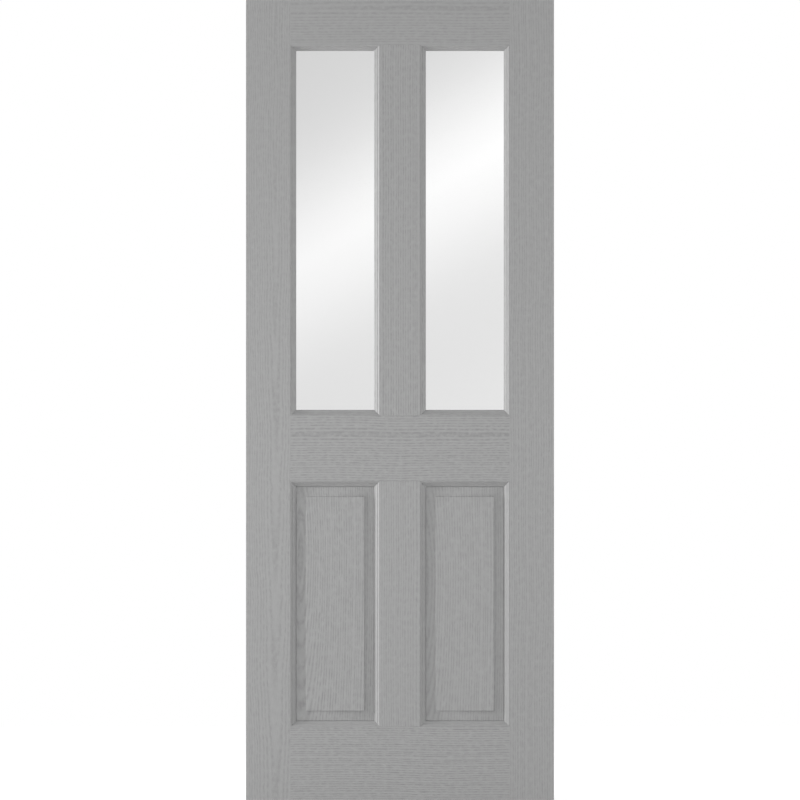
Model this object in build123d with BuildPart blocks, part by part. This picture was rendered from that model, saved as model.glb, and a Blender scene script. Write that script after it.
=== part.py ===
"""Glazed interior door leaf: two panes above two raised and fielded panels.

Stiles, rails and muntins are tenoned together. Beads hold the panes and mouldings hold the
panels, on both faces, mitred at every corner. The origin is on the hanging edge, at the bottom
of the leaf and the middle of its thickness: X runs across the leaf, -Y is the front, Z is up.
"""

import os
from math import radians, sin

from build123d import *

# Leaf
leaf_width = 762.0
leaf_height = 1981.0
leaf_thickness = 35.0
arris_radius = 0.8

# Framing members, by the width of the face that shows
stile_width = 110.0
muntin_width = 100.0
top_rail_height = 112.0
middle_rail_height = 162.5
bottom_rail_height = 182.5
panel_opening_height = 607.0

# Joints between the members
tenon_thickness = 12.0
rail_tenon_length = 45.0
muntin_tenon_length = 28.0
rail_tenon_shoulder = 24.0
muntin_tenon_shoulder = 20.0
tenon_side_play = 0.1
tenon_end_play = 2.0

# Raised and fielded panels
tongue_thickness = 12.0
tongue_length = 8.0
tongue_side_play = 0.1
tongue_end_play = 2.0
field_inset = 40.0
field_below_face = 4.9
field_step_height = 2.2
field_step_run = 1.3
bevel_shoulder_height = 1.8

# Mouldings and beads, by the section that shows
mould_width = 14.0
mould_below_face = 0.5
outer_fillet_width = 0.5
upper_round_radius = 4.4
quirk_width = 0.4
ogee_round_radius = 4.6
ogee_turn = 55.0
toe_width = 0.7

# Panes and the tape that beds them
glass_thickness = 4.0
glass_edge_gap = 3.0
tape_thickness = 1.0
tape_width = 8.0
tape_inset = 4.5

# Places that follow from the sizes above
half_thickness = leaf_thickness / 2
opening_width = (leaf_width - 2 * stile_width - muntin_width) / 2
bottom_rail_top = bottom_rail_height
middle_rail_bottom = bottom_rail_top + panel_opening_height
middle_rail_top = middle_rail_bottom + middle_rail_height
top_rail_bottom = leaf_height - top_rail_height
light_opening_height = top_rail_bottom - middle_rail_top
muntin_left = stile_width + opening_width
muntin_right = muntin_left + muntin_width
left_opening_x = stile_width + opening_width / 2
right_opening_x = muntin_right + opening_width / 2
panel_opening_z = bottom_rail_top + panel_opening_height / 2
light_opening_z = middle_rail_top + light_opening_height / 2
groove_depth = tongue_length + tongue_end_play
ogee_width = mould_width - outer_fillet_width - upper_round_radius - quirk_width - toe_width
ogee_hollow_radius = ogee_width / sin(radians(ogee_turn)) - ogee_round_radius
opening_sides = {"left": left_opening_x, "right": right_opening_x}
faces = {"front": Vector(0, -1, 0), "back": Vector(0, 1, 0)}

# Rails, by the heights of their bottom and top edges
rail_spans = {
    "top_rail": (top_rail_bottom, leaf_height),
    "middle_rail": (middle_rail_bottom, middle_rail_top),
    "bottom_rail": (0.0, bottom_rail_top),
}


def save(part, name):
    """Labels a finished piece and writes it under its own name."""
    part.label = name
    export_step(part, f"parts/{name}.step")


def cut_panel_grooves():
    """Cuts the grooves for both panels' tongues out of the member being made."""
    for opening_x in opening_sides.values():
        with Locations((opening_x, 0, panel_opening_z)):
            Box(
                opening_width + 2 * groove_depth,
                tongue_thickness + 2 * tongue_side_play,
                panel_opening_height + 2 * groove_depth,
                mode=Mode.SUBTRACT,
            )


def stile(left_x, outer_edge):
    """One full-height stile, with its arrises, panel groove and three mortises."""
    with BuildPart() as member:
        with Locations((left_x + stile_width / 2, 0, leaf_height / 2)):
            Box(stile_width, leaf_thickness, leaf_height)
        long_edges = member.edges().filter_by(Axis.Z).group_by(Axis.X)[outer_edge]
        end_edges = member.edges().filter_by(Axis.X)
        fillet(long_edges + end_edges, radius=arris_radius)
        cut_panel_grooves()
        inner_x = left_x + stile_width if outer_edge == 0 else left_x
        for rail_bottom, rail_top in rail_spans.values():
            with Locations((inner_x, 0, (rail_bottom + rail_top) / 2)):
                Box(
                    2 * (rail_tenon_length + tenon_end_play),
                    tenon_thickness + 2 * tenon_side_play,
                    rail_top - rail_bottom - 2 * rail_tenon_shoulder + 2 * tenon_side_play,
                    mode=Mode.SUBTRACT,
                )
    return member.part


def rail(name):
    """One rail between the stiles, with a tenon at each end and mortises for the muntins."""
    rail_bottom, rail_top = rail_spans[name]
    rail_height = rail_top - rail_bottom
    rail_z = (rail_bottom + rail_top) / 2
    shoulder_length = leaf_width - 2 * stile_width
    with BuildPart() as member:
        with Locations((leaf_width / 2, 0, rail_z)):
            Box(shoulder_length, leaf_thickness, rail_height)
        if name == "top_rail":
            fillet(member.edges().filter_by(Axis.X).group_by(Axis.Z)[-1], radius=arris_radius)
        if name == "bottom_rail":
            fillet(member.edges().filter_by(Axis.X).group_by(Axis.Z)[0], radius=arris_radius)
        cut_panel_grooves()
        for muntin_shoulder_z in (bottom_rail_top, middle_rail_bottom, middle_rail_top, top_rail_bottom):
            if rail_bottom <= muntin_shoulder_z <= rail_top:
                with Locations((leaf_width / 2, 0, muntin_shoulder_z)):
                    Box(
                        muntin_width - 2 * muntin_tenon_shoulder + 2 * tenon_side_play,
                        tenon_thickness + 2 * tenon_side_play,
                        2 * (muntin_tenon_length + tenon_end_play),
                        mode=Mode.SUBTRACT,
                    )
        for shoulder_x, outwards in ((stile_width, -1), (leaf_width - stile_width, 1)):
            with Locations((shoulder_x + outwards * rail_tenon_length / 2, 0, rail_z)):
                Box(rail_tenon_length, tenon_thickness, rail_height - 2 * rail_tenon_shoulder)
    return member.part


def muntin(bottom_z, top_z):
    """One muntin between two rails, with a stub tenon at each end."""
    with BuildPart() as member:
        with Locations((leaf_width / 2, 0, (bottom_z + top_z) / 2)):
            Box(muntin_width, leaf_thickness, top_z - bottom_z)
            Box(
                muntin_width - 2 * muntin_tenon_shoulder,
                tenon_thickness,
                top_z - bottom_z + 2 * muntin_tenon_length,
            )
        cut_panel_grooves()
    return member.part


def fielded_panel(opening_x):
    """One panel: a thick board whose four edges are worked to a bevel and a tongue on both faces."""
    board_width = opening_width + 2 * tongue_length
    board_height = panel_opening_height + 2 * tongue_length
    field_top = half_thickness - field_below_face
    bevel_top = field_top - field_step_height
    tongue_top = tongue_thickness / 2
    bevel_start = tongue_length + mould_width
    bevel_end = tongue_length + field_inset - field_step_run
    field_edge = tongue_length + field_inset
    beyond = field_step_height
    with BuildPart() as panel:
        with Locations((opening_x, 0, panel_opening_z)):
            Box(board_width, 2 * field_top, board_height)
        for outward in faces.values():
            for inward, across in ((Vector(1, 0, 0), board_width), (Vector(0, 0, 1), board_height)):
                for sense in (1, -1):
                    along = (inward * sense).cross(outward)
                    run = board_height if across == board_width else board_width
                    start = (
                        Vector(opening_x, 0, panel_opening_z)
                        - inward * sense * (across / 2)
                        - along * (run / 2)
                    )
                    with BuildSketch(Plane(origin=start, x_dir=inward * sense, z_dir=along)):
                        with BuildLine():
                            Polyline(
                                (-beyond, tongue_top),
                                (bevel_start, tongue_top),
                                (bevel_start, tongue_top + bevel_shoulder_height),
                                (bevel_end, bevel_top),
                                (field_edge, field_top),
                                (field_edge, field_top + beyond),
                                (-beyond, field_top + beyond),
                                (-beyond, tongue_top),
                            )
                        make_face()
                    extrude(amount=run, mode=Mode.SUBTRACT)
    return panel.part


def mitred_mould(centre, size, inward, outward, seat_height):
    """One length of moulding along a side of an opening, mitred at both ends.

    inward points from that side to the middle of the opening, outward points out of the leaf,
    and seat_height is how far the moulding's seat lies from the middle of the leaf.
    """
    opening_x, opening_z = centre
    along = inward.cross(outward)
    length = abs(along.X) * size[0] + abs(along.Z) * size[1]
    reach = abs(inward.X) * size[0] + abs(inward.Z) * size[1]
    start = (
        Vector(opening_x, 0, opening_z)
        - inward * (reach / 2)
        - along * (length / 2)
        + outward * seat_height
    )
    top = half_thickness - mould_below_face - seat_height
    upper_end = outer_fillet_width + upper_round_radius
    quirk_top = top - upper_round_radius
    with BuildPart() as mould:
        with BuildSketch(Plane(origin=start, x_dir=inward, z_dir=along)):
            with BuildLine():
                RadiusArc((outer_fillet_width, top), (upper_end, quirk_top), upper_round_radius)
                quirk = Line((upper_end, quirk_top), (upper_end + quirk_width, quirk_top))
                ogee_round = JernArc(quirk @ 1, (1, 0), ogee_round_radius, -ogee_turn)
                hollow = JernArc(ogee_round @ 1, ogee_round % 1, ogee_hollow_radius, ogee_turn)
                toe = Line(hollow @ 1, hollow @ 1 + Vector(toe_width, 0))
                Polyline(toe @ 1, (mould_width, 0), (0, 0), (0, top), (outer_fillet_width, top))
            make_face()
        extrude(amount=length)
        split(bisect_by=Plane(origin=start, z_dir=along - inward), keep=Keep.TOP)
        split(bisect_by=Plane(origin=start + along * length, z_dir=-along - inward), keep=Keep.TOP)
    return mould.part


def save_moulds(name, centre, size, seat_height):
    """Writes the eight mitred lengths round one opening, four on each face of the leaf."""
    inward_from = {
        "left": Vector(1, 0, 0),
        "right": Vector(-1, 0, 0),
        "bottom": Vector(0, 0, 1),
        "top": Vector(0, 0, -1),
    }
    for face, outward in faces.items():
        for side, inward in inward_from.items():
            save(mitred_mould(centre, size, inward, outward, seat_height), f"{name}_{face}_{side}")


def glass_pane(opening_x):
    """One clear pane, smaller than its opening by the edge gap all round."""
    with BuildPart() as pane:
        with Locations((opening_x, 0, light_opening_z)):
            Box(
                opening_width - 2 * glass_edge_gap,
                glass_thickness,
                light_opening_height - 2 * glass_edge_gap,
            )
    return pane.part


def glazing_tape():
    """The four rings of tape that bed the panes against their beads."""
    with BuildPart() as tape:
        for opening_x in opening_sides.values():
            for outward in faces.values():
                seat = Vector(opening_x, 0, light_opening_z) + outward * (glass_thickness / 2)
                with BuildSketch(Plane(origin=seat, x_dir=(1, 0, 0), z_dir=outward)):
                    Rectangle(opening_width - 2 * tape_inset, light_opening_height - 2 * tape_inset)
                    Rectangle(
                        opening_width - 2 * (tape_inset + tape_width),
                        light_opening_height - 2 * (tape_inset + tape_width),
                        mode=Mode.SUBTRACT,
                    )
                extrude(amount=tape_thickness)
    return tape.part


os.makedirs("parts", exist_ok=True)

save(stile(0.0, 0), "hanging_stile")
save(stile(leaf_width - stile_width, -1), "lock_stile")
for rail_name in rail_spans:
    save(rail(rail_name), rail_name)
save(muntin(middle_rail_top, top_rail_bottom), "upper_muntin")
save(muntin(bottom_rail_top, middle_rail_bottom), "lower_muntin")

light_size = (opening_width, light_opening_height)
panel_size = (opening_width, panel_opening_height)
bead_seat = glass_thickness / 2 + tape_thickness
moulding_seat = tongue_thickness / 2
for side, opening_x in opening_sides.items():
    save(glass_pane(opening_x), f"{side}_pane")
    save(fielded_panel(opening_x), f"{side}_panel")
    save_moulds(f"{side}_glazing_bead", (opening_x, light_opening_z), light_size, bead_seat)
    save_moulds(f"{side}_panel_moulding", (opening_x, panel_opening_z), panel_size, moulding_seat)
save(glazing_tape(), "glazing_tape")
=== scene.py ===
"""Dresses the glazed interior door leaf: painted timber, clear panes, soft studio light.

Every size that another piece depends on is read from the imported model, so that each new piece
lies where its solid does. Lengths are in metres, Z is up and -Y is the front of the leaf.
"""

from math import cos, pi, radians, sin

import bmesh
import bpy
from bpy.props import FloatProperty, FloatVectorProperty, IntProperty, PointerProperty
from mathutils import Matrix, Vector


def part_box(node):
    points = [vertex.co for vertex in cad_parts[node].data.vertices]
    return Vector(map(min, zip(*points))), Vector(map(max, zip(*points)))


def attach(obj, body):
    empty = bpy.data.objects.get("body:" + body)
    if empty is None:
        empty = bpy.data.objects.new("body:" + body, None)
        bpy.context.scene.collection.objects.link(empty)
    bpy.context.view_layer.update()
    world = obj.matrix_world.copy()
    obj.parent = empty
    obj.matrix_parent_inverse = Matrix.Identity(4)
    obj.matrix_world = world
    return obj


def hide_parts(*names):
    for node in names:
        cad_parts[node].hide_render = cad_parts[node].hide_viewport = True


bl_info = {
    "name": "Glazed interior door",
    "version": (1, 0, 0),
    "blender": (4, 5, 0),
    "location": "3D View > Sidebar > Door",
    "description": "Builds the painted timber, panes, beads and studio of a glazed door leaf",
    "category": "Object",
}

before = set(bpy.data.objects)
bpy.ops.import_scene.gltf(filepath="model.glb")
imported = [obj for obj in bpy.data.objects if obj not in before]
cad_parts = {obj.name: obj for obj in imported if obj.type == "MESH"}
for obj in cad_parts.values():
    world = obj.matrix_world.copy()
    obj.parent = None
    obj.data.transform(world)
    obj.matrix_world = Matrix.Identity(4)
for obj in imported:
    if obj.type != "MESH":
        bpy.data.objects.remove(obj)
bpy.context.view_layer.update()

# Corners of the solids that the new pieces are set out from
HANGING_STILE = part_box("hanging_stile")
LOCK_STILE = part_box("lock_stile")
LEAF_LOW, LEAF_HIGH = HANGING_STILE[0], LOCK_STILE[1]
TOP_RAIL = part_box("top_rail")
MIDDLE_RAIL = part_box("middle_rail")
BOTTOM_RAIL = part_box("bottom_rail")
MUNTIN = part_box("upper_muntin")
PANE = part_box("left_pane")
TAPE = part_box("glazing_tape")
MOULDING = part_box("left_panel_moulding_front_bottom")
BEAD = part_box("left_glazing_bead_front_bottom")

SIDES = ("left", "right")
OPENING_X = {
    "left": (HANGING_STILE[1].x, MUNTIN[0].x),
    "right": (MUNTIN[1].x, LOCK_STILE[0].x),
}
PANEL_OPENING_Z = (BOTTOM_RAIL[1].z, MIDDLE_RAIL[0].z)
LIGHT_OPENING_Z = (MIDDLE_RAIL[1].z, TOP_RAIL[0].z)
OPENING_STEP = Vector((OPENING_X["right"][0] - OPENING_X["left"][0], 0, 0))

# Modelling: how near two places count as one, the bends up to which edges are shaded smooth,
# and the bends from which an edge is an arris, or is rounded by the paint
SAME_PLACE = 1e-6
SMOOTH_BEND = radians(50)
ARRIS_BEND = radians(60)
MOULD_SOFT_BEND = radians(30)
PANEL_SOFT_BEND = radians(20)
# How squarely a face has to look to the front or back to be worked from that side
SQUARE_ON = 0.99
# The share of a panel's bevel, from its start, at which its hollow is deepest
HOLLOW_PLACE = 0.6
# How far the glazing tape stays back from the edge of the beads
TAPE_SETBACK = 0.0015

# The sockets of a Mix node that mixes colours
MIX_FACTOR, MIX_FIRST, MIX_SECOND, MIX_RESULT = 0, 6, 7, 2
# The inputs of the grain beside its vector, in the order of the boards' values
GRAIN_INPUTS = ("Closing", "Heart Depth", "Ring Width", "Wander", "Ripple")
GRAIN_OUTPUTS = ("Grooves", "Pores", "Cloud")
# Each noise in the finishes: its stretch along X, Y and Z, its scale and its detail
NOISES = {
    "drift": ((1.2, 1.2, 1.0), 3.0, 1.0),
    "ripple": ((0.5, 0.5, 1.0), 30.0, 2.0),
    "fading": ((1.0, 1.0, 0.8), 105.0, 3.0),
    "pores": ((1.0, 1.0, 0.22), 330.0, 2.0),
    "cloud": ((1.0, 1.0, 1.0), 70.0, 4.0),
    "bloom": ((1.0, 1.0, 1.0), 9.0, 3.0),
    "cells": ((1.0, 1.0, 1.0), 900.0, 2.0),
}
# What a finish takes from its noise, as the gain and what is added
LEVELS = {
    "fading": (3.4, -1.0),
    "pores": (4.0, -1.7),
    "haze": (0.16, 0.92),
    "bloom": (0.012, -0.004),
    "tape_roughness": (0.2, 0.7),
}
NOISE_MIDDLE = 0.5
# How quickly the width of the rings changes from ring to ring, and by how much
GROWTH_SCALE, GROWTH_DETAIL, GROWTH_SHIFT = 0.6, 1.0, 0.8
# How narrow the grooves are, how deep a pore is beside a groove, and the roughness in a groove
GROOVE_SHARPNESS = 1.4
PORE_SHARE = 0.3
GROOVE_ROUGHNESS = 0.12
PAINT_SPECULAR = 0.35
GLASS_INDEX = 1.5
# The darkest cells of the tape beside its palest, and how deep they are
TAPE_DARKEST = 0.8
TAPE_CELL_DEPTH = 0.0001

# The studio's own sizes and finishes
SENSOR_MILLIMETRES = 36
FARTHEST_SEEN = 200
BACKDROP_SIZE = 4
FLOOR_SIZE = 9
FLOOR_ROUGHNESS = 0.9
FLOOR_SPECULAR = 0.1
FLOOR_GLOW = 0.56


class TimberSizes(bpy.types.PropertyGroup):
    """Sizes worked on the stiles, rails, muntins and panels."""

    outer_arris: FloatProperty(
        name="Outer arris",
        description="Radius of the arrises round the outside of the leaf",
        default=0.0003,
        unit="LENGTH",
    )
    sight_arris: FloatProperty(
        name="Sight arris",
        description="Radius of the arrises round each opening",
        default=0.0006,
        unit="LENGTH",
    )
    joint_ease: FloatProperty(
        name="Joint ease",
        description="Width of the hairline that shows where two members meet",
        default=0.0001,
        unit="LENGTH",
    )
    field_inset: FloatProperty(
        name="Field inset",
        description="Distance from the opening's edge to the raised field of a panel",
        default=0.0390,
        unit="LENGTH",
    )
    step_height: FloatProperty(
        name="Step height",
        description="Rise of the step round a panel's field",
        default=0.0022,
        unit="LENGTH",
    )
    step_run: FloatProperty(
        name="Step run",
        description="Width of the slope of that step",
        default=0.0008,
        unit="LENGTH",
    )
    bevel_shoulder: FloatProperty(
        name="Bevel shoulder",
        description="Rise from a panel's tongue to the start of its bevel",
        default=0.0014,
        unit="LENGTH",
    )
    bevel_hollow: FloatProperty(
        name="Bevel hollow",
        description="How far a bevel lies below a straight line from its start to the step",
        default=0.0009,
        unit="LENGTH",
    )
    open_line: FloatProperty(
        name="Open line",
        description="Width of the dark line between a moulding and the bevel beside it",
        default=0.0006,
        unit="LENGTH",
    )
    panel_soft_edge: FloatProperty(
        name="Panel soft edge",
        description="Width that the paint leaves on each edge of a panel",
        default=0.0003,
        unit="LENGTH",
    )
    tongue_thickness: FloatProperty(
        name="Tongue thickness",
        description="Thickness of a panel at its edge",
        default=0.012,
        unit="LENGTH",
    )


class MouldSizes(bpy.types.PropertyGroup):
    """The section of the panel mouldings and glazing beads, from its outer edge inwards."""

    fillet: FloatProperty(
        name="Fillet",
        description="Width of the flat along the outer edge",
        default=0.0005,
        unit="LENGTH",
    )
    upper_round: FloatProperty(
        name="Upper round",
        description="Radius of the quarter round next to the fillet",
        default=0.0044,
        unit="LENGTH",
    )
    quirk: FloatProperty(
        name="Quirk",
        description="Width of the ledge between the two rounds",
        default=0.0004,
        unit="LENGTH",
    )
    ogee_round: FloatProperty(
        name="Ogee round",
        description="Radius of the swelling half of the ogee",
        default=0.0046,
        unit="LENGTH",
    )
    ogee_turn: FloatProperty(
        name="Ogee turn",
        description="Steepest slope of the ogee, where its round meets its hollow",
        default=radians(55),
        subtype="ANGLE",
    )
    toe: FloatProperty(
        name="Toe",
        description="Width of the strip along the inner edge",
        default=0.0020,
        unit="LENGTH",
    )
    toe_fall: FloatProperty(
        name="Toe fall",
        description="How far that strip falls towards its edge",
        default=0.0024,
        unit="LENGTH",
    )
    soft_edge: FloatProperty(
        name="Soft edge",
        description="Radius that the paint leaves on each sharp edge",
        default=0.00025,
        unit="LENGTH",
    )
    arc_steps: IntProperty(
        name="Arc steps",
        description="Strips in each round and hollow",
        default=5,
        min=2,
    )


class PaintSettings(bpy.types.PropertyGroup):
    """The paint, the grain that shows through it, and the shade painted into its colour."""

    colour: FloatVectorProperty(
        name="Paint colour",
        description="Colour of the paint on the timber",
        subtype="COLOR",
        size=3,
        min=0,
        max=1,
        default=(0.367, 0.367, 0.367),
    )
    roughness: FloatProperty(
        name="Roughness",
        description="Roughness of the satin paint",
        subtype="FACTOR",
        default=0.52,
    )
    groove_depth: FloatProperty(
        name="Groove depth",
        description="Depth of the open grain under the paint",
        default=0.00022,
        unit="LENGTH",
    )
    # Shade painted into the grooves of the grain, where they would shade themselves
    groove_painted_shade: FloatProperty(
        name="Groove shade",
        description="How much darker the paint is down in the grain",
        subtype="FACTOR",
        default=0.20,
    )
    # Shade painted into the colour round the foot of each panel's step, where the step would shade
    # its bevel: how dark it is, and how far it reaches
    painted_step_shade: FloatProperty(
        name="Foot shade",
        description="How much darker the paint is that gathers at the foot of a panel's step",
        subtype="FACTOR",
        default=0.075,
    )
    step_shade_reach: FloatProperty(
        name="Foot reach",
        description="How far that darker paint reaches from the step",
        default=0.010,
        unit="LENGTH",
    )
    tape_colour: FloatVectorProperty(
        name="Tape colour",
        description="Colour of the glazing tape",
        subtype="COLOR",
        size=3,
        min=0,
        max=1,
        default=(0.30, 0.30, 0.30),
    )


class GlassSettings(bpy.types.PropertyGroup):
    """The panes."""

    tint: FloatVectorProperty(
        name="Tint",
        description="Colour that the glass gives to what is seen through it",
        subtype="COLOR",
        size=3,
        min=0,
        max=1,
        default=(0.88, 0.88, 0.88),
    )
    ground_edge: FloatProperty(
        name="Ground edge",
        description="Width of the ground arris round a pane",
        default=0.0005,
        unit="LENGTH",
    )


class StudioSettings(bpy.types.PropertyGroup):
    """The camera, lamps and floor."""

    camera_distance: FloatProperty(
        name="Camera distance",
        description="Distance from the camera to the front of the leaf",
        default=20.0,
        unit="LENGTH",
    )
    trim: FloatProperty(
        name="Trim",
        description="How much of the leaf's top and bottom the picture's edges cut off",
        default=0.0008,
        unit="LENGTH",
    )
    key_power: FloatProperty(
        name="Key power",
        description="Power of the lamp that rakes across the door from the left",
        default=54.0,
        unit="POWER",
    )
    key_angle: FloatProperty(
        name="Key angle",
        description="How far that lamp stands round to the left of the door's front",
        subtype="ANGLE",
        default=radians(82),
    )
    side_power: FloatProperty(
        name="Side power",
        description="Power of the lamp on the left, a little farther round to the front",
        default=9.6,
        unit="POWER",
    )
    side_angle: FloatProperty(
        name="Side angle",
        description="How far that lamp stands round to the left of the door's front",
        subtype="ANGLE",
        default=radians(70),
    )
    edge_power: FloatProperty(
        name="Edge power",
        description="Power of the lamp that rakes weakly across the door from the right",
        default=12.0,
        unit="POWER",
    )
    edge_angle: FloatProperty(
        name="Edge angle",
        description="How far that lamp stands round to the left of the door's front",
        subtype="ANGLE",
        default=radians(-80),
    )
    front_power: FloatProperty(
        name="Front power",
        description="Power of the lamp straight in front, below the middle of the door",
        default=11.0,
        unit="POWER",
    )
    front_angle: FloatProperty(
        name="Front angle",
        description="How far that lamp stands round to the left of the door's front",
        subtype="ANGLE",
        default=radians(0),
    )
    front_lift: FloatProperty(
        name="Front lift",
        description="How far that lamp stands above the level of the door's middle",
        subtype="ANGLE",
        default=radians(-12),
    )
    lamp_distance: FloatProperty(
        name="Lamp distance",
        description="Distance from each lamp to the middle of the door",
        default=4.0,
        unit="LENGTH",
    )
    lamp_size: FloatProperty(
        name="Lamp size",
        description="Width and height of each lamp",
        default=0.7,
        unit="LENGTH",
    )
    lamp_spread: FloatProperty(
        name="Lamp spread",
        description="How widely the light of each lamp fans out",
        subtype="ANGLE",
        default=radians(120),
    )
    backdrop_distance: FloatProperty(
        name="Backdrop distance",
        description="Distance from the middle of the leaf to the backdrop behind it",
        default=0.6,
        unit="LENGTH",
    )
    backdrop_strength: FloatProperty(
        name="Backdrop strength",
        description="Light of the backdrop where the band does not cross it",
        default=0.661,
    )
    fill_strength: FloatProperty(
        name="Fill strength",
        description="Light that reaches the door from all round",
        default=0.665,
    )
    floor_colour: FloatVectorProperty(
        name="Floor colour",
        description="Colour of the floor",
        subtype="COLOR",
        size=3,
        min=0,
        max=1,
        default=(0.65, 0.65, 0.65),
    )


# Boards, with one each for the mouldings and beads that run the same way: where the heart of
# the grain lies (X, Z), which way the board runs, how fast its rings close along the board, how
# deep the heart lies, ring width, wander, ripple, shade, and how strongly the grain is marked.
# The shade is painted light and shade: it makes the one paint lighter or darker on each board as
# the lamps would, and the mouldings darker than the beads
BOARDS = {
    "hanging_stile": ((0.074, 1.721), "Z", 0.020, 0.000, 0.0057, 0.016, 0.0070, 1.00, 0.64),
    "lock_stile": ((0.835, 0.420), "Z", 0.012, 0.020, 0.0060, 0.014, 0.0016, 0.997, 0.68),
    "upper_muntin": ((0.300, 1.900), "Z", 0.006, 0.030, 0.0056, 0.008, 0.0008, 1.005, 0.85),
    "lower_muntin": ((0.440, 0.100), "Z", 0.010, 0.020, 0.0056, 0.010, 0.0009, 1.008, 0.72),
    "top_rail": ((0.500, 1.960), "X", 0.018, 0.012, 0.0066, 0.012, 0.0018, 0.985, 0.67),
    "middle_rail": ((0.330, 0.905), "X", 0.016, 0.010, 0.0060, 0.014, 0.0022, 1.008, 1.0),
    "bottom_rail": ((0.420, -0.030), "X", 0.020, 0.010, 0.0058, 0.012, 0.0022, 1.013, 0.95),
    "left_panel": ((0.134, 0.602), "Z", 0.120, 0.000, 0.0058, 0.006, 0.0012, 1.013, 0.86),
    "right_panel": ((0.440, 0.540), "Z", 0.120, 0.004, 0.0062, 0.006, 0.0010, 1.00, 0.7),
    "upright_mouldings": ((-0.300, 1.000), "Z", 0.006, 0.030, 0.0052, 0.004, 0.0003, 0.905, 0.4),
    "level_mouldings": ((0.400, -0.500), "X", 0.006, 0.030, 0.0052, 0.004, 0.0003, 0.94, 0.4),
    "upright_beads": ((-0.300, 1.000), "Z", 0.006, 0.030, 0.0052, 0.004, 0.0003, 0.985, 0.5),
    "level_beads": ((0.400, -0.500), "X", 0.006, 0.030, 0.0052, 0.004, 0.0003, 0.98, 0.5),
}

# The band of light painted on the glowing backdrop, a painted gleam seen through the panes: from
# its lower edge to its upper as (place, brightness) pairs, its slope, the height at which it
# starts, and its gain in the middle and to the right
BAND = (
    (0.0, 0.41),
    (0.10, 0.41),
    (0.20, 0.46),
    (0.30, 0.615),
    (0.40, 0.82),
    (0.47, 0.93),
    (0.495, 0.96),
    (0.54, 0.91),
    (0.66, 0.635),
    (0.78, 0.35),
    (0.88, 0.22),
    (1.0, 0.15),
)
BAND_SLOPE = 0.578
BAND_START = 0.0185
BAND_GAIN = 0.462
BAND_GAIN_TO_RIGHT = 0.175


def select_alone(piece):
    """Selects one piece and nothing else, and makes it the active one."""
    bpy.ops.object.select_all(action="DESELECT")
    piece.select_set(True)
    bpy.context.view_layer.objects.active = piece


def begin_edit(piece):
    """Enters edit mode on one piece, with nothing of it selected."""
    select_alone(piece)
    bpy.ops.object.mode_set(mode="EDIT")
    bpy.ops.mesh.select_all(action="DESELECT")


def end_edit():
    """Leaves edit mode."""
    bpy.ops.object.mode_set(mode="OBJECT")


def select_parts(piece, kind, chosen):
    """Selects the faces or edges for which chosen is true, and nothing else."""
    bpy.ops.mesh.select_all(action="DESELECT")
    bpy.ops.mesh.select_mode(type=kind)
    mesh = bmesh.from_edit_mesh(piece.data)
    for part in mesh.faces if kind == "FACE" else mesh.edges:
        if chosen(part):
            part.select_set(True)
    bmesh.update_edit_mesh(piece.data)


def apply_place(piece):
    """Puts a piece's place, turn and size into its mesh."""
    select_alone(piece)
    bpy.ops.object.transform_apply(location=True, rotation=True, scale=True)


def block(name, low, high):
    """A block between two corners, as the start of a piece."""
    low, high = Vector(low), Vector(high)
    bpy.ops.mesh.primitive_cube_add(size=1, location=(low + high) / 2)
    piece = bpy.context.object
    piece.name = piece.data.name = name
    piece.scale = high - low
    apply_place(piece)
    return piece


def smooth_round_flats(piece):
    """Smooths the gentle edges of a piece and keeps its wide faces truly flat."""
    select_alone(piece)
    bpy.ops.object.shade_smooth_by_angle(angle=SMOOTH_BEND)
    flats = piece.modifiers.new("flat_faces", "WEIGHTED_NORMAL")
    flats.keep_sharp = True
    bpy.ops.object.modifier_apply(modifier=flats.name)


def soften(piece, width, bend):
    """Rounds the edges that bend more, as paint does, and smooths what lies between them."""
    select_alone(piece)
    rounding = piece.modifiers.new("paint_edge", "BEVEL")
    rounding.width = width
    rounding.segments = 2
    rounding.limit_method = "ANGLE"
    rounding.angle_limit = bend
    bpy.ops.object.modifier_apply(modifier=rounding.name)
    smooth_round_flats(piece)


def finish_piece(piece, node, material):
    """Gives a piece its material, seats it on the leaf and lets it stand for its node."""
    piece.data.materials.clear()
    piece.data.materials.append(material)
    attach(piece, "root")
    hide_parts(node)


def copied(piece, name):
    """A copy of a piece with its own mesh."""
    select_alone(piece)
    bpy.ops.object.duplicate(linked=False)
    copy = bpy.context.object
    copy.name = copy.data.name = name
    return copy


def half_turned(piece, axis, centre):
    """Turns a piece half round about an axis through centre, and puts the turn into its mesh."""
    select_alone(piece)
    bpy.ops.transform.rotate(value=pi, orient_axis=axis, center_override=centre)
    apply_place(piece)


def add_node(tree, kind, **values):
    """Adds a shader node and sets the properties given by name."""
    node = tree.nodes.new(kind)
    for name, value in values.items():
        setattr(node, name, value)
    return node


def new_material(name):
    """A new material, with its node tree and the shader in it."""
    material = bpy.data.materials.new(name)
    material.use_nodes = True
    tree = material.node_tree
    return material, tree, tree.nodes["Principled BSDF"]


def feed(tree, value, socket):
    """Links a socket to the output that feeds it, or sets it to a plain number or colour."""
    if isinstance(value, bpy.types.NodeSocket):
        tree.links.new(value, socket)
    else:
        socket.default_value = value


def maths(tree, operation, *values, clamp=False):
    """A math node on sockets or numbers, as its output socket."""
    node = add_node(tree, "ShaderNodeMath", operation=operation, use_clamp=clamp)
    for value, socket in zip(values, node.inputs):
        feed(tree, value, socket)
    return node.outputs[0]


def squared(tree, value):
    """The square of a socket, as an output socket."""
    return maths(tree, "MULTIPLY", value, value)


def levelled(tree, value, name, clamp=False):
    """A noise with the gain of its finish and what is added, as an output socket."""
    return maths(tree, "MULTIPLY_ADD", value, *LEVELS[name], clamp=clamp)


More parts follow.
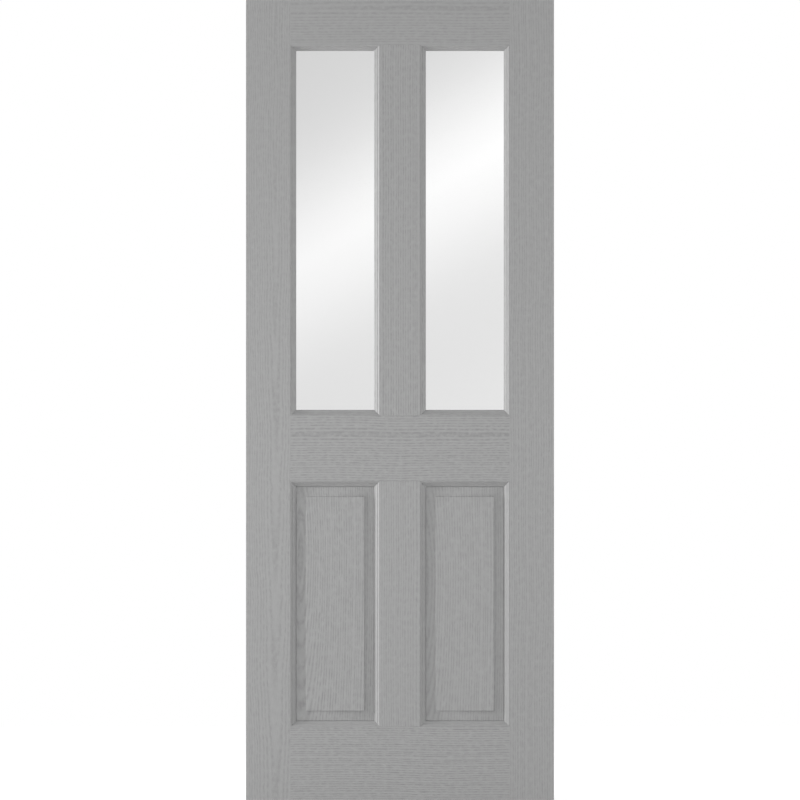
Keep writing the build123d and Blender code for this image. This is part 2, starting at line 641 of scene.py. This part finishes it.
def mixed(tree, factor, first, second, **settings):
    """Two colours mixed by a factor, as an output socket."""
    node = add_node(tree, "ShaderNodeMix", data_type="RGBA", **settings)
    for place, value in ((MIX_FACTOR, factor), (MIX_FIRST, first), (MIX_SECOND, second)):
        feed(tree, value, node.inputs[place])
    return node.outputs[MIX_RESULT]


def add_bump(tree, height, depth, shader, **settings):
    """Feeds a shader's normal with a bump of a given depth."""
    bump = add_node(tree, "ShaderNodeBump", **settings)
    bump.inputs["Strength"].default_value = 1
    bump.inputs["Distance"].default_value = depth
    tree.links.new(height, bump.inputs["Height"])
    tree.links.new(bump.outputs["Normal"], shader.inputs["Normal"])


def seen_by_the_eye(tree):
    """1 for rays from the camera, a gloss or a clear piece and 0 for others, as a socket."""
    path = add_node(tree, "ShaderNodeLightPath")
    seen = maths(tree, "MAXIMUM", path.outputs["Is Camera Ray"], path.outputs["Is Glossy Ray"])
    return maths(tree, "MAXIMUM", seen, path.outputs["Is Transmission Ray"])


def noise_of(tree, vector, name):
    """One of the noises, from 0 to 1, on a vector that is first stretched, as a socket."""
    stretch, scale, detail = NOISES[name]
    node = add_node(tree, "ShaderNodeVectorMath", operation="MULTIPLY")
    node.inputs[1].default_value = stretch
    tree.links.new(vector, node.inputs[0])
    noise = add_node(tree, "ShaderNodeTexNoise")
    noise.inputs["Scale"].default_value = scale
    noise.inputs["Detail"].default_value = detail
    tree.links.new(node.outputs[0], noise.inputs["Vector"])
    return noise.outputs["Fac"]


def new_group(name, inputs, outputs):
    """A node group that takes a vector and numbers, with the sockets at its two ends."""
    tree = bpy.data.node_groups.new(name, "ShaderNodeTree")
    tree.interface.new_socket("Vector", in_out="INPUT", socket_type="NodeSocketVector")
    for way, sockets in (("INPUT", inputs), ("OUTPUT", outputs)):
        for socket in sockets:
            tree.interface.new_socket(socket, in_out=way, socket_type="NodeSocketFloat")
    given = add_node(tree, "NodeGroupInput")
    made = add_node(tree, "NodeGroupOutput")
    return tree, given.outputs, made.inputs


def wood_grain_group():
    """The grain of a flat-sawn board, worked out from its rings round the heart.

    The vector is measured from the heart, with Z along the board and X across its face.
    """
    if "wood_grain" in bpy.data.node_groups:
        return bpy.data.node_groups["wood_grain"]
    tree, given, made = new_group("wood_grain", GRAIN_INPUTS, GRAIN_OUTPUTS)
    vector = given["Vector"]
    parts = add_node(tree, "ShaderNodeSeparateXYZ")
    tree.links.new(vector, parts.inputs[0])
    across, depth, along = parts.outputs

    # The rings drift sideways along the board, and ripple over a shorter length, each by a
    # noise that is centred on zero first
    for noise, size in (("drift", "Wander"), ("ripple", "Ripple")):
        shift = maths(tree, "SUBTRACT", noise_of(tree, vector, noise), NOISE_MIDDLE)
        across = maths(tree, "MULTIPLY_ADD", shift, given[size], across)

    # Distance from the heart, counted in rings whose widths differ
    closing = maths(tree, "MULTIPLY", along, given["Closing"])
    buried = maths(tree, "ADD", depth, given["Heart Depth"])
    square = maths(tree, "ADD", squared(tree, across), squared(tree, closing))
    square = maths(tree, "ADD", square, squared(tree, buried))
    rings = maths(tree, "DIVIDE", maths(tree, "SQRT", square), given["Ring Width"])
    growth = add_node(tree, "ShaderNodeTexNoise", noise_dimensions="1D")
    growth.inputs["Scale"].default_value = GROWTH_SCALE
    growth.inputs["Detail"].default_value = GROWTH_DETAIL
    tree.links.new(rings, growth.inputs["W"])
    shift = maths(tree, "MULTIPLY", growth.outputs["Fac"], GROWTH_SHIFT)
    rings = maths(tree, "ADD", rings, shift)
    wave = maths(tree, "SINE", maths(tree, "MULTIPLY", rings, 2 * pi))
    # The wave runs from 0 to 1, once in each ring
    wave = maths(tree, "MULTIPLY_ADD", wave, 0.5, 0.5)

    # Grooves fade in and out along each ring, and short pores lie along them
    fading = levelled(tree, noise_of(tree, vector, "fading"), "fading", clamp=True)
    grooves = maths(tree, "MULTIPLY", maths(tree, "POWER", wave, GROOVE_SHARPNESS), fading)
    pores = levelled(tree, noise_of(tree, vector, "pores"), "pores", clamp=True)
    cloud = noise_of(tree, vector, "cloud")
    for name, value in zip(GRAIN_OUTPUTS, (grooves, pores, cloud)):
        tree.links.new(value, made[name])
    return tree


def step_shade_mask_group():
    """How near a point of a panel lies to the foot of the step round its field, from outside, as
    the mask for the shade painted there.

    The vector is measured from the middle of the panel.
    """
    if "step_foot" in bpy.data.node_groups:
        return bpy.data.node_groups["step_foot"]
    inputs = ("Half Width", "Half Height", "Reach")
    tree, given, made = new_group("step_foot", inputs, ("Nearness",))
    parts = add_node(tree, "ShaderNodeSeparateXYZ")
    tree.links.new(given["Vector"], parts.inputs[0])
    across, _, along = parts.outputs
    beside = maths(tree, "SUBTRACT", maths(tree, "ABSOLUTE", across), given["Half Width"])
    beyond = maths(tree, "SUBTRACT", maths(tree, "ABSOLUTE", along), given["Half Height"])
    outside = maths(tree, "MAXIMUM", beside, beyond)
    share = maths(tree, "DIVIDE", outside, given["Reach"])
    near = maths(tree, "SUBTRACT", 1.0, share, clamp=True)
    near = maths(tree, "MULTIPLY", near, maths(tree, "GREATER_THAN", outside, 0.0))
    tree.links.new(near, made["Nearness"])
    return tree


def step_foot(tree, place, side):
    """The nearness to the foot of one panel's step, the mask of the shade painted there, as an
    output socket.
    """
    sizes = bpy.context.scene.door_timber
    left, right = OPENING_X[side]
    bottom, top = PANEL_OPENING_Z
    foot_inset = sizes.field_inset - sizes.step_run
    centre = add_node(tree, "ShaderNodeMapping", vector_type="TEXTURE")
    centre.inputs["Location"].default_value = ((left + right) / 2, 0, (bottom + top) / 2)
    tree.links.new(place.outputs["Object"], centre.inputs["Vector"])
    foot = add_node(tree, "ShaderNodeGroup", node_tree=step_shade_mask_group())
    foot.inputs["Half Width"].default_value = (right - left) / 2 - foot_inset
    foot.inputs["Half Height"].default_value = (top - bottom) / 2 - foot_inset
    foot.inputs["Reach"].default_value = bpy.context.scene.door_paint.step_shade_reach
    tree.links.new(centre.outputs["Vector"], foot.inputs["Vector"])
    return foot.outputs["Nearness"]


def painted_board(board):
    """The satin paint on one board, with the grain of that board under it, and the shade painted
    into its colour.
    """
    name = f"painted_{board}"
    if name in bpy.data.materials:
        return bpy.data.materials[name]
    paint = bpy.context.scene.door_paint
    (heart_x, heart_z), direction, *ring_sizes, shade, mark = BOARDS[board]
    material, tree, shader = new_material(name)
    shader.inputs["Specular IOR Level"].default_value = PAINT_SPECULAR
    place = add_node(tree, "ShaderNodeTexCoord")
    turn = add_node(tree, "ShaderNodeMapping", vector_type="TEXTURE")
    turn.inputs["Location"].default_value = (heart_x, LEAF_LOW.y, heart_z)
    turn.inputs["Rotation"].default_value = (0, pi / 2 if direction == "X" else 0, 0)
    grain = add_node(tree, "ShaderNodeGroup", node_tree=wood_grain_group())
    for socket, size in zip(GRAIN_INPUTS, ring_sizes):
        grain.inputs[socket].default_value = size
    tree.links.new(place.outputs["Object"], turn.inputs["Vector"])
    tree.links.new(turn.outputs["Vector"], grain.inputs["Vector"])

    grooves, pores, cloud = (grain.outputs[socket] for socket in GRAIN_OUTPUTS)
    # Down in the grooves and pores of the grain the colour is darkened, a painted shade
    hollow = maths(tree, "ADD", grooves, maths(tree, "MULTIPLY", pores, PORE_SHARE))
    hollow = maths(tree, "MULTIPLY", hollow, mark)
    # Each board's shade paints its colour lighter or darker, a painted light and shade
    light = [shade * part for part in paint.colour]
    dark = [shade * part * (1 - paint.groove_painted_shade) for part in paint.colour]
    colour = mixed(tree, hollow, (*light, 1), (*dark, 1), clamp_factor=False)
    haze = levelled(tree, cloud, "haze")
    # On a panel, shade is painted into the colour round the foot of the step, where the step would
    # shade its bevel
    if board.endswith("_panel"):
        foot = step_foot(tree, place, board.removesuffix("_panel"))
        haze = maths(tree, "MULTIPLY_ADD", foot, -paint.painted_step_shade, haze)
    colour = mixed(tree, 1, colour, haze, blend_type="MULTIPLY")
    tree.links.new(colour, shader.inputs["Base Color"])
    rough = maths(tree, "MULTIPLY_ADD", hollow, GROOVE_ROUGHNESS, paint.roughness)
    tree.links.new(rough, shader.inputs["Roughness"])
    add_bump(tree, hollow, paint.groove_depth, shader, invert=True)
    return material


def clear_glass():
    """Float glass, with the faintest bloom of handling on its surface."""
    if "float_glass" in bpy.data.materials:
        return bpy.data.materials["float_glass"]
    material, tree, shader = new_material("float_glass")
    shader.inputs["Base Color"].default_value = (*bpy.context.scene.door_glass.tint, 1)
    shader.inputs["Transmission Weight"].default_value = 1
    shader.inputs["IOR"].default_value = GLASS_INDEX
    place = add_node(tree, "ShaderNodeTexCoord")
    bloom = levelled(tree, noise_of(tree, place.outputs["Object"], "bloom"), "bloom", clamp=True)
    tree.links.new(bloom, shader.inputs["Roughness"])
    return material


def grey_tape():
    """Foam glazing tape."""
    if "grey_tape" in bpy.data.materials:
        return bpy.data.materials["grey_tape"]
    material, tree, shader = new_material("grey_tape")
    place = add_node(tree, "ShaderNodeTexCoord")
    cells = noise_of(tree, place.outputs["Object"], "cells")
    light = bpy.context.scene.door_paint.tape_colour
    dark = [TAPE_DARKEST * part for part in light]
    tree.links.new(mixed(tree, cells, (*dark, 1), (*light, 1)), shader.inputs["Base Color"])
    tree.links.new(levelled(tree, cells, "tape_roughness"), shader.inputs["Roughness"])
    add_bump(tree, cells, TAPE_CELL_DEPTH, shader)
    return material


def member(name, low, high, outer_sides):
    """One stile, rail or muntin: its arrises eased, more on the outside of the leaf.

    outer_sides gives the faces that lie on the outside of the leaf, as (axis, place) pairs.
    """
    sizes = bpy.context.scene.door_timber
    piece = block(name, low, high)
    long_axis = 2 if high[2] - low[2] > high[0] - low[0] else 0
    begin_edit(piece)

    def is_outer(edge):
        return any(
            all(abs(corner.co[axis] - place) < SAME_PLACE for corner in edge.verts)
            for axis, place in outer_sides
        )

    def is_near_outside(edge):
        reach = 2 * sizes.outer_arris
        return any(abs(edge.verts[0].co[axis] - place) < reach for axis, place in outer_sides)

    def is_arris(edge):
        return abs(edge.calc_face_angle(0)) > ARRIS_BEND

    def runs(edge, axis):
        ends = edge.verts[0].co - edge.verts[1].co
        return abs(ends[axis]) > SAME_PLACE

    def is_sight_arris(edge):
        return runs(edge, long_axis) and is_arris(edge) and not is_near_outside(edge)

    def is_shoulder(edge):
        level = not runs(edge, long_axis) and not runs(edge, 1)
        return level and edge.calc_length() > sizes.outer_arris and is_arris(edge)

    if outer_sides:
        select_parts(piece, "EDGE", lambda edge: is_outer(edge) and not runs(edge, 1))
        bpy.ops.mesh.bevel(offset=sizes.outer_arris, segments=4, profile=0.5)
    select_parts(piece, "EDGE", is_sight_arris)
    bpy.ops.mesh.bevel(offset=sizes.sight_arris, segments=3, profile=0.5)
    select_parts(piece, "EDGE", is_shoulder)
    bpy.ops.mesh.bevel(offset=sizes.joint_ease, segments=1)
    end_edit()
    smooth_round_flats(piece)
    return piece


def fielded_panel(side):
    """One raised and fielded panel, both faces worked in from the tongue by insets."""
    sizes = bpy.context.scene.door_timber
    low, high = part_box(f"{side}_panel")
    rise = high.y - sizes.step_height - sizes.bevel_shoulder - sizes.tongue_thickness / 2
    low.y, high.y = -sizes.tongue_thickness / 2, sizes.tongue_thickness / 2
    tongue_length = OPENING_X[side][0] - low.x
    mould_width = MOULDING[1].z - MOULDING[0].z
    run = sizes.field_inset - sizes.step_run - mould_width - sizes.open_line
    piece = block(f"{side}_fielded_panel", low, high)
    begin_edit(piece)
    for facing in (-1, 1):
        select_parts(piece, "FACE", lambda face: face.normal.y * facing > SQUARE_ON)
        bpy.ops.mesh.inset(thickness=tongue_length + mould_width + sizes.open_line, depth=0)
        bpy.ops.mesh.extrude_region_move(
            TRANSFORM_OT_translate={"value": (0, facing * sizes.bevel_shoulder, 0)}
        )
        for share, hollow in (
            (HOLLOW_PLACE, sizes.bevel_hollow),
            (1 - HOLLOW_PLACE, -sizes.bevel_hollow),
        ):
            bpy.ops.mesh.inset(thickness=share * run, depth=share * rise - hollow)
        bpy.ops.mesh.inset(thickness=sizes.step_run, depth=sizes.step_height)
    end_edit()
    soften(piece, sizes.panel_soft_edge, PANEL_SOFT_BEND)
    return piece


def straight_mould(name, length, depth, width):
    """A length of moulding along X, seated at Z = 0 with its outer edge at Y = 0, not yet mitred.

    It starts as the fillet strip. Each next part of the section is swept or pulled out of the
    last long edge, and the wall that lies against the timber closes it.
    """
    sizes = bpy.context.scene.door_mould
    ogee_width = width - sizes.fillet - sizes.upper_round - sizes.quirk - sizes.toe
    hollow = ogee_width / sin(sizes.ogee_turn) - sizes.ogee_round
    bpy.ops.mesh.primitive_plane_add(size=1, location=(0, sizes.fillet / 2, depth))
    piece = bpy.context.object
    piece.name = piece.data.name = name
    piece.scale = (length, sizes.fillet, 1)
    apply_place(piece)
    begin_edit(piece)
    edge_y, edge_z = sizes.fillet, depth

    def is_last(edge):
        return all(
            abs(corner.co.y - edge_y) < SAME_PLACE and abs(corner.co.z - edge_z) < SAME_PLACE
            for corner in edge.verts
        )

    def pull(inwards, upwards):
        """Pulls a flat strip out of the last edge."""
        nonlocal edge_y, edge_z
        select_parts(piece, "EDGE", is_last)
        bpy.ops.mesh.extrude_region_move(TRANSFORM_OT_translate={"value": (0, inwards, upwards)})
        edge_y, edge_z = edge_y + inwards, edge_z + upwards

    def sweep(radius, start, turn):
        """Sweeps the last edge round an arc that starts at a slope and turns by an angle."""
        reach = radius if turn > 0 else -radius
        for place in range(sizes.arc_steps):
            first = start + turn * place / sizes.arc_steps
            second = start + turn * (place + 1) / sizes.arc_steps
            pull(reach * (sin(second) - sin(first)), reach * (cos(first) - cos(second)))

    sweep(sizes.upper_round, 0, -pi / 2)
    pull(sizes.quirk, 0)
    sweep(sizes.ogee_round, 0, -sizes.ogee_turn)
    sweep(hollow, -sizes.ogee_turn, sizes.ogee_turn)
    pull(sizes.toe, -sizes.toe_fall)
    pull(0, -edge_z)
    pull(-edge_y, 0)
    pull(0, depth)
    bpy.ops.mesh.select_all(action="SELECT")
    bpy.ops.mesh.remove_doubles(threshold=SAME_PLACE)
    end_edit()
    return piece


def mitre(piece, length):
    """Cuts both ends of a straight length at 45 degrees and closes them."""
    begin_edit(piece)
    for end in (-1, 1):
        bpy.ops.mesh.select_all(action="SELECT")
        bpy.ops.mesh.bisect(
            plane_co=(end * length / 2, 0, 0),
            plane_no=(end, 1, 0),
            clear_outer=True,
            use_fill=True,
        )
    bpy.ops.mesh.select_all(action="SELECT")
    bpy.ops.mesh.normals_make_consistent(inside=False)
    end_edit()


def mitred_set(kind, solid, opening_z, boards):
    """All the mitred lengths of one kind: four round each opening on each face of the leaf.

    The bottom and the left length of the left opening's front are modelled, and the others are
    turned or moved copies of them.
    """
    sizes = bpy.context.scene.door_mould
    left, right = OPENING_X["left"]
    bottom, top = opening_z
    centre = Vector(((left + right) / 2, 0, (bottom + top) / 2))
    height = -solid[1].y
    depth = solid[1].y - solid[0].y
    width = solid[1].z - solid[0].z
    for start_side, length, far_side in (
        ("bottom", right - left, "top"),
        ("left", top - bottom, "right"),
    ):
        first_name = f"left_{kind}_front_{start_side}"
        first = straight_mould(f"{first_name}_length", length, depth, width)
        mitre(first, length)
        soften(first, sizes.soft_edge, MOULD_SOFT_BEND)
        if start_side == "bottom":
            first.rotation_euler = (pi / 2, 0, 0)
            first.location = (centre.x, -height, bottom)
        else:
            first.rotation_euler = (pi / 2, pi / 2, 0)
            first.location = (left, -height, centre.z)
        apply_place(first)
        lengths = {("left", "front", start_side): first}
        opposite = copied(first, f"left_{kind}_front_{far_side}_length")
        half_turned(opposite, "Y", centre)
        lengths["left", "front", far_side] = opposite
        for side in (start_side, far_side):
            behind = copied(lengths["left", "front", side], f"left_{kind}_back_{side}_length")
            half_turned(behind, "X", centre)
            behind_side = {"bottom": "top", "top": "bottom"}.get(side, side)
            behind.name = behind.data.name = f"left_{kind}_back_{behind_side}_length"
            lengths["left", "back", behind_side] = behind
        for (_, face, side), piece in list(lengths.items()):
            other = copied(piece, f"right_{kind}_{face}_{side}_length")
            bpy.ops.transform.translate(value=OPENING_STEP)
            apply_place(other)
            lengths["right", face, side] = other
        material = painted_board(f"{'level' if start_side == 'bottom' else 'upright'}_{boards}")
        for (opening, face, side), piece in lengths.items():
            finish_piece(piece, f"{opening}_{kind}_{face}_{side}", material)


class DOOR_OT_frame_members(bpy.types.Operator):
    """Builds the stiles, rails and muntins"""

    bl_idname = "door.frame_members"
    bl_label = "Stiles, rails and muntins"

    def execute(self, context):
        front, back = LEAF_LOW.y, LEAF_HIGH.y
        left_shoulder, right_shoulder = HANGING_STILE[1].x, LOCK_STILE[0].x
        top, bottom = (2, LEAF_HIGH.z), (2, LEAF_LOW.z)
        members = {
            "hanging_stile": (*HANGING_STILE, ((0, LEAF_LOW.x), top, bottom)),
            "lock_stile": (*LOCK_STILE, ((0, LEAF_HIGH.x), top, bottom)),
        }
        for name, (foot, head) in (
            ("upper_muntin", LIGHT_OPENING_Z),
            ("lower_muntin", PANEL_OPENING_Z),
        ):
            members[name] = ((MUNTIN[0].x, front, foot), (MUNTIN[1].x, back, head), ())
        for name, solid, outside in (
            ("top_rail", TOP_RAIL, (top,)),
            ("middle_rail", MIDDLE_RAIL, ()),
            ("bottom_rail", BOTTOM_RAIL, (bottom,)),
        ):
            low = (left_shoulder, front, solid[0].z)
            high = (right_shoulder, back, solid[1].z)
            members[name] = (low, high, outside)
        for name, (low, high, outside) in members.items():
            piece = member(f"{name}_timber", low, high, outside)
            finish_piece(piece, name, painted_board(name))
        return {"FINISHED"}


class DOOR_OT_panels(bpy.types.Operator):
    """Builds the raised and fielded panels"""

    bl_idname = "door.panels"
    bl_label = "Fielded panels"

    def execute(self, context):
        for side in SIDES:
            piece = fielded_panel(side)
            finish_piece(piece, f"{side}_panel", painted_board(f"{side}_panel"))
        return {"FINISHED"}


class DOOR_OT_mouldings(bpy.types.Operator):
    """Builds the mitred mouldings round the panels and the beads round the panes"""

    bl_idname = "door.mouldings"
    bl_label = "Mouldings and beads"

    def execute(self, context):
        mitred_set("panel_moulding", MOULDING, PANEL_OPENING_Z, "mouldings")
        mitred_set("glazing_bead", BEAD, LIGHT_OPENING_Z, "beads")
        return {"FINISHED"}


class DOOR_OT_panes(bpy.types.Operator):
    """Builds the panes, with ground arrises"""

    bl_idname = "door.panes"
    bl_label = "Panes"

    def execute(self, context):
        for side in SIDES:
            low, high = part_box(f"{side}_pane")
            piece = block(f"{side}_glass_pane", low, high)
            begin_edit(piece)
            bpy.ops.mesh.select_all(action="SELECT")
            bpy.ops.mesh.bevel(offset=context.scene.door_glass.ground_edge, segments=1)
            end_edit()
            finish_piece(piece, f"{side}_pane", clear_glass())
        return {"FINISHED"}


class DOOR_OT_glazing_tape(bpy.types.Operator):
    """Builds the four rings of tape that bed the panes"""

    bl_idname = "door.glazing_tape"
    bl_label = "Glazing tape"

    def execute(self, context):
        inset = TAPE[0].x - OPENING_X["left"][0]
        bead_width = BEAD[1].z - BEAD[0].z
        rings = []
        for side in SIDES:
            left, right = OPENING_X[side]
            bottom, top = LIGHT_OPENING_Z
            size = (right - left - 2 * inset, top - bottom - 2 * inset)
            for facing in (-1, 1):
                bpy.ops.mesh.primitive_plane_add(
                    size=1,
                    location=((left + right) / 2, facing * PANE[1].y, (bottom + top) / 2),
                    rotation=(facing * -pi / 2, 0, 0),
                )
                ring = bpy.context.object
                ring.name = ring.data.name = f"{side}_tape_{'front' if facing < 0 else 'back'}"
                ring.scale = (size[0], size[1], 1)
                apply_place(ring)
                begin_edit(ring)
                select_parts(ring, "FACE", lambda face: True)
                bpy.ops.mesh.inset(thickness=bead_width - inset - TAPE_SETBACK, depth=0)
                bpy.ops.mesh.delete(type="FACE")
                select_parts(ring, "FACE", lambda face: True)
                bpy.ops.mesh.extrude_region_move(
                    TRANSFORM_OT_translate={"value": (0, facing * (TAPE[1].y - PANE[1].y), 0)}
                )
                bpy.ops.mesh.select_all(action="SELECT")
                bpy.ops.mesh.normals_make_consistent(inside=False)
                end_edit()
                rings.append(ring)
        bpy.ops.object.select_all(action="DESELECT")
        for ring in rings:
            ring.select_set(True)
        bpy.context.view_layer.objects.active = rings[0]
        bpy.ops.object.join()
        rings[0].name = rings[0].data.name = "glazing_tape_rings"
        finish_piece(rings[0], "glazing_tape", grey_tape())
        return {"FINISHED"}


def white_to_the_eye(tree, surface_socket, strength, shader):
    """Adds white light to a shader for rays from the camera, a gloss or a clear piece."""
    glow = add_node(tree, "ShaderNodeEmission")
    seen = maths(tree, "MULTIPLY", seen_by_the_eye(tree), strength)
    tree.links.new(seen, glow.inputs["Strength"])
    both = add_node(tree, "ShaderNodeAddShader")
    tree.links.new(shader, both.inputs[0])
    tree.links.new(glow.outputs[0], both.inputs[1])
    tree.links.new(both.outputs[0], surface_socket)


class DOOR_OT_studio(bpy.types.Operator):
    """Sets out the camera, lamps, floor and background"""

    bl_idname = "door.studio"
    bl_label = "Studio"

    def execute(self, context):
        studio = context.scene.door_studio
        centre = (LEAF_LOW + LEAF_HIGH) / 2
        height = LEAF_HIGH.z - LEAF_LOW.z

        lens = bpy.data.cameras.new("front_camera")
        camera = bpy.data.objects.new("front_camera", lens)
        context.scene.collection.objects.link(camera)
        camera.location = (centre.x, LEAF_LOW.y - studio.camera_distance, centre.z)
        camera.rotation_euler = (pi / 2, 0, 0)
        lens.sensor_width = SENSOR_MILLIMETRES
        lens.lens = lens.sensor_width * studio.camera_distance / (height - 2 * studio.trim)
        lens.clip_end = FARTHEST_SEEN
        context.scene.camera = camera

        for name in ("key", "side", "edge", "front"):
            self.set_lamp(context, name, centre, studio)
        self.hang_backdrop(centre, studio)
        self.lay_floor(centre, studio)
        self.light_world(context, studio)
        context.scene.view_settings.view_transform = "Standard"
        return {"FINISHED"}

    def set_lamp(self, context, name, centre, studio):
        """A soft square lamp, turned to the middle of the door."""
        data = bpy.data.lights.new(f"{name}_lamp", "AREA")
        data.shape = "SQUARE"
        data.size = studio.lamp_size
        data.spread = studio.lamp_spread
        data.energy = getattr(studio, f"{name}_power")
        lamp = bpy.data.objects.new(f"{name}_lamp", data)
        context.scene.collection.objects.link(lamp)
        angle = getattr(studio, f"{name}_angle")
        lift = studio.front_lift if name == "front" else 0
        away = Vector((-sin(angle) * cos(lift), -cos(angle) * cos(lift), sin(lift)))
        lamp.location = centre + away * studio.lamp_distance
        lamp.rotation_euler = (-away).to_track_quat("-Z", "Y").to_euler()

    def hang_backdrop(self, centre, studio):
        """A pale glowing backdrop, seen only through the panes and crossed by a band of painted
        light.
        """
        distance = studio.backdrop_distance
        bpy.ops.mesh.primitive_plane_add(
            size=1, location=(centre.x, distance, centre.z), rotation=(pi / 2, 0, 0)
        )
        backdrop = bpy.context.object
        backdrop.name = backdrop.data.name = "backdrop"
        backdrop.scale = (BACKDROP_SIZE, BACKDROP_SIZE, 1)
        apply_place(backdrop)
        material, tree, _ = new_material("lit_backdrop")
        tree.nodes.clear()
        out = add_node(tree, "ShaderNodeOutputMaterial")
        glow = add_node(tree, "ShaderNodeEmission")
        place = add_node(tree, "ShaderNodeTexCoord")
        parts = add_node(tree, "ShaderNodeSeparateXYZ")
        tree.links.new(place.outputs["Object"], parts.inputs[0])
        # The place on the pane through which the camera sees each point of the backdrop
        spread = 1 + distance / studio.camera_distance
        offsets = (maths(tree, "SUBTRACT", parts.outputs[axis], centre[axis]) for axis in (0, 2))
        pane_x, pane_z = (maths(tree, "DIVIDE", offset, spread) for offset in offsets)
        level = maths(tree, "SUBTRACT", pane_z, maths(tree, "MULTIPLY", pane_x, BAND_SLOPE))
        # The band's brightness across the backdrop, a painted gleam that lights nothing
        curve_node = add_node(tree, "ShaderNodeFloatCurve")
        curve = curve_node.mapping.curves[0]
        for place_at, value in BAND[1:-1]:
            curve.points.new(place_at, value)
        curve.points[0].location = BAND[0]
        curve.points[-1].location = BAND[-1]
        curve_node.mapping.update()
        tree.links.new(maths(tree, "ADD", level, BAND_START), curve_node.inputs["Value"])
        brighter = maths(tree, "MULTIPLY_ADD", pane_x, BAND_GAIN_TO_RIGHT, BAND_GAIN)
        band = maths(tree, "MULTIPLY", curve_node.outputs[0], brighter)
        tree.links.new(maths(tree, "ADD", band, studio.backdrop_strength), glow.inputs["Strength"])
        tree.links.new(glow.outputs[0], out.inputs["Surface"])
        backdrop.data.materials.append(material)
        for ray in ("camera", "diffuse", "glossy", "volume_scatter", "shadow"):
            setattr(backdrop, f"visible_{ray}", False)

    def lay_floor(self, centre, studio):
        """A pale floor under the leaf, which the eye sees white but for the leaf's shadow."""
        bpy.ops.mesh.primitive_plane_add(size=FLOOR_SIZE, location=(centre.x, 0, LEAF_LOW.z))
        floor = bpy.context.object
        floor.name = floor.data.name = "floor"
        apply_place(floor)
        material, tree, shader = new_material("pale_floor")
        shader.inputs["Base Color"].default_value = (*studio.floor_colour, 1)
        shader.inputs["Roughness"].default_value = FLOOR_ROUGHNESS
        shader.inputs["Specular IOR Level"].default_value = FLOOR_SPECULAR
        out = tree.nodes["Material Output"]
        white_to_the_eye(tree, out.inputs["Surface"], FLOOR_GLOW, shader.outputs[0])
        floor.data.materials.append(material)

    def light_world(self, context, studio):
        """Even fill from all round, which the camera, glosses and glass see as white."""
        world = bpy.data.worlds.new("studio_fill")
        world.use_nodes = True
        tree = world.node_tree
        fill = tree.nodes["Background"]
        fill.inputs["Color"].default_value = (1, 1, 1, 1)
        lift = 1 - studio.fill_strength
        strength = maths(tree, "MULTIPLY_ADD", seen_by_the_eye(tree), lift, studio.fill_strength)
        tree.links.new(strength, fill.inputs["Strength"])
        context.scene.world = world


class DOOR_PT_pieces(bpy.types.Panel):
    """Lists the door's pieces and their sizes"""

    bl_label = "Glazed door"
    bl_idname = "DOOR_PT_pieces"
    bl_space_type = "VIEW_3D"
    bl_region_type = "UI"
    bl_category = "Door"

    def draw(self, context):
        layout = self.layout
        for operator in OPERATORS:
            layout.operator(operator.bl_idname)
        for group, place in SETTINGS.items():
            box = layout.box()
            box.label(text=group.__name__)
            for name in group.__annotations__:
                box.prop(getattr(context.scene, place), name)


SETTINGS = {
    TimberSizes: "door_timber",
    MouldSizes: "door_mould",
    PaintSettings: "door_paint",
    GlassSettings: "door_glass",
    StudioSettings: "door_studio",
}
OPERATORS = (
    DOOR_OT_frame_members,
    DOOR_OT_panels,
    DOOR_OT_mouldings,
    DOOR_OT_panes,
    DOOR_OT_glazing_tape,
    DOOR_OT_studio,
)


def register():
    """Registers the settings, the operators and the panel."""
    for group, name in SETTINGS.items():
        bpy.utils.register_class(group)
        setattr(bpy.types.Scene, name, PointerProperty(type=group))
    for operator in OPERATORS:
        bpy.utils.register_class(operator)
    bpy.utils.register_class(DOOR_PT_pieces)


def unregister():
    """Takes away what register added."""
    bpy.utils.unregister_class(DOOR_PT_pieces)
    for operator in reversed(OPERATORS):
        bpy.utils.unregister_class(operator)
    for group, name in SETTINGS.items():
        delattr(bpy.types.Scene, name)
        bpy.utils.unregister_class(group)


def main():
    """Builds every piece and the studio."""
    register()
    bpy.ops.door.frame_members()
    bpy.ops.door.panels()
    bpy.ops.door.mouldings()
    bpy.ops.door.panes()
    bpy.ops.door.glazing_tape()
    bpy.ops.door.studio()


if __name__ == "__main__":
    main()
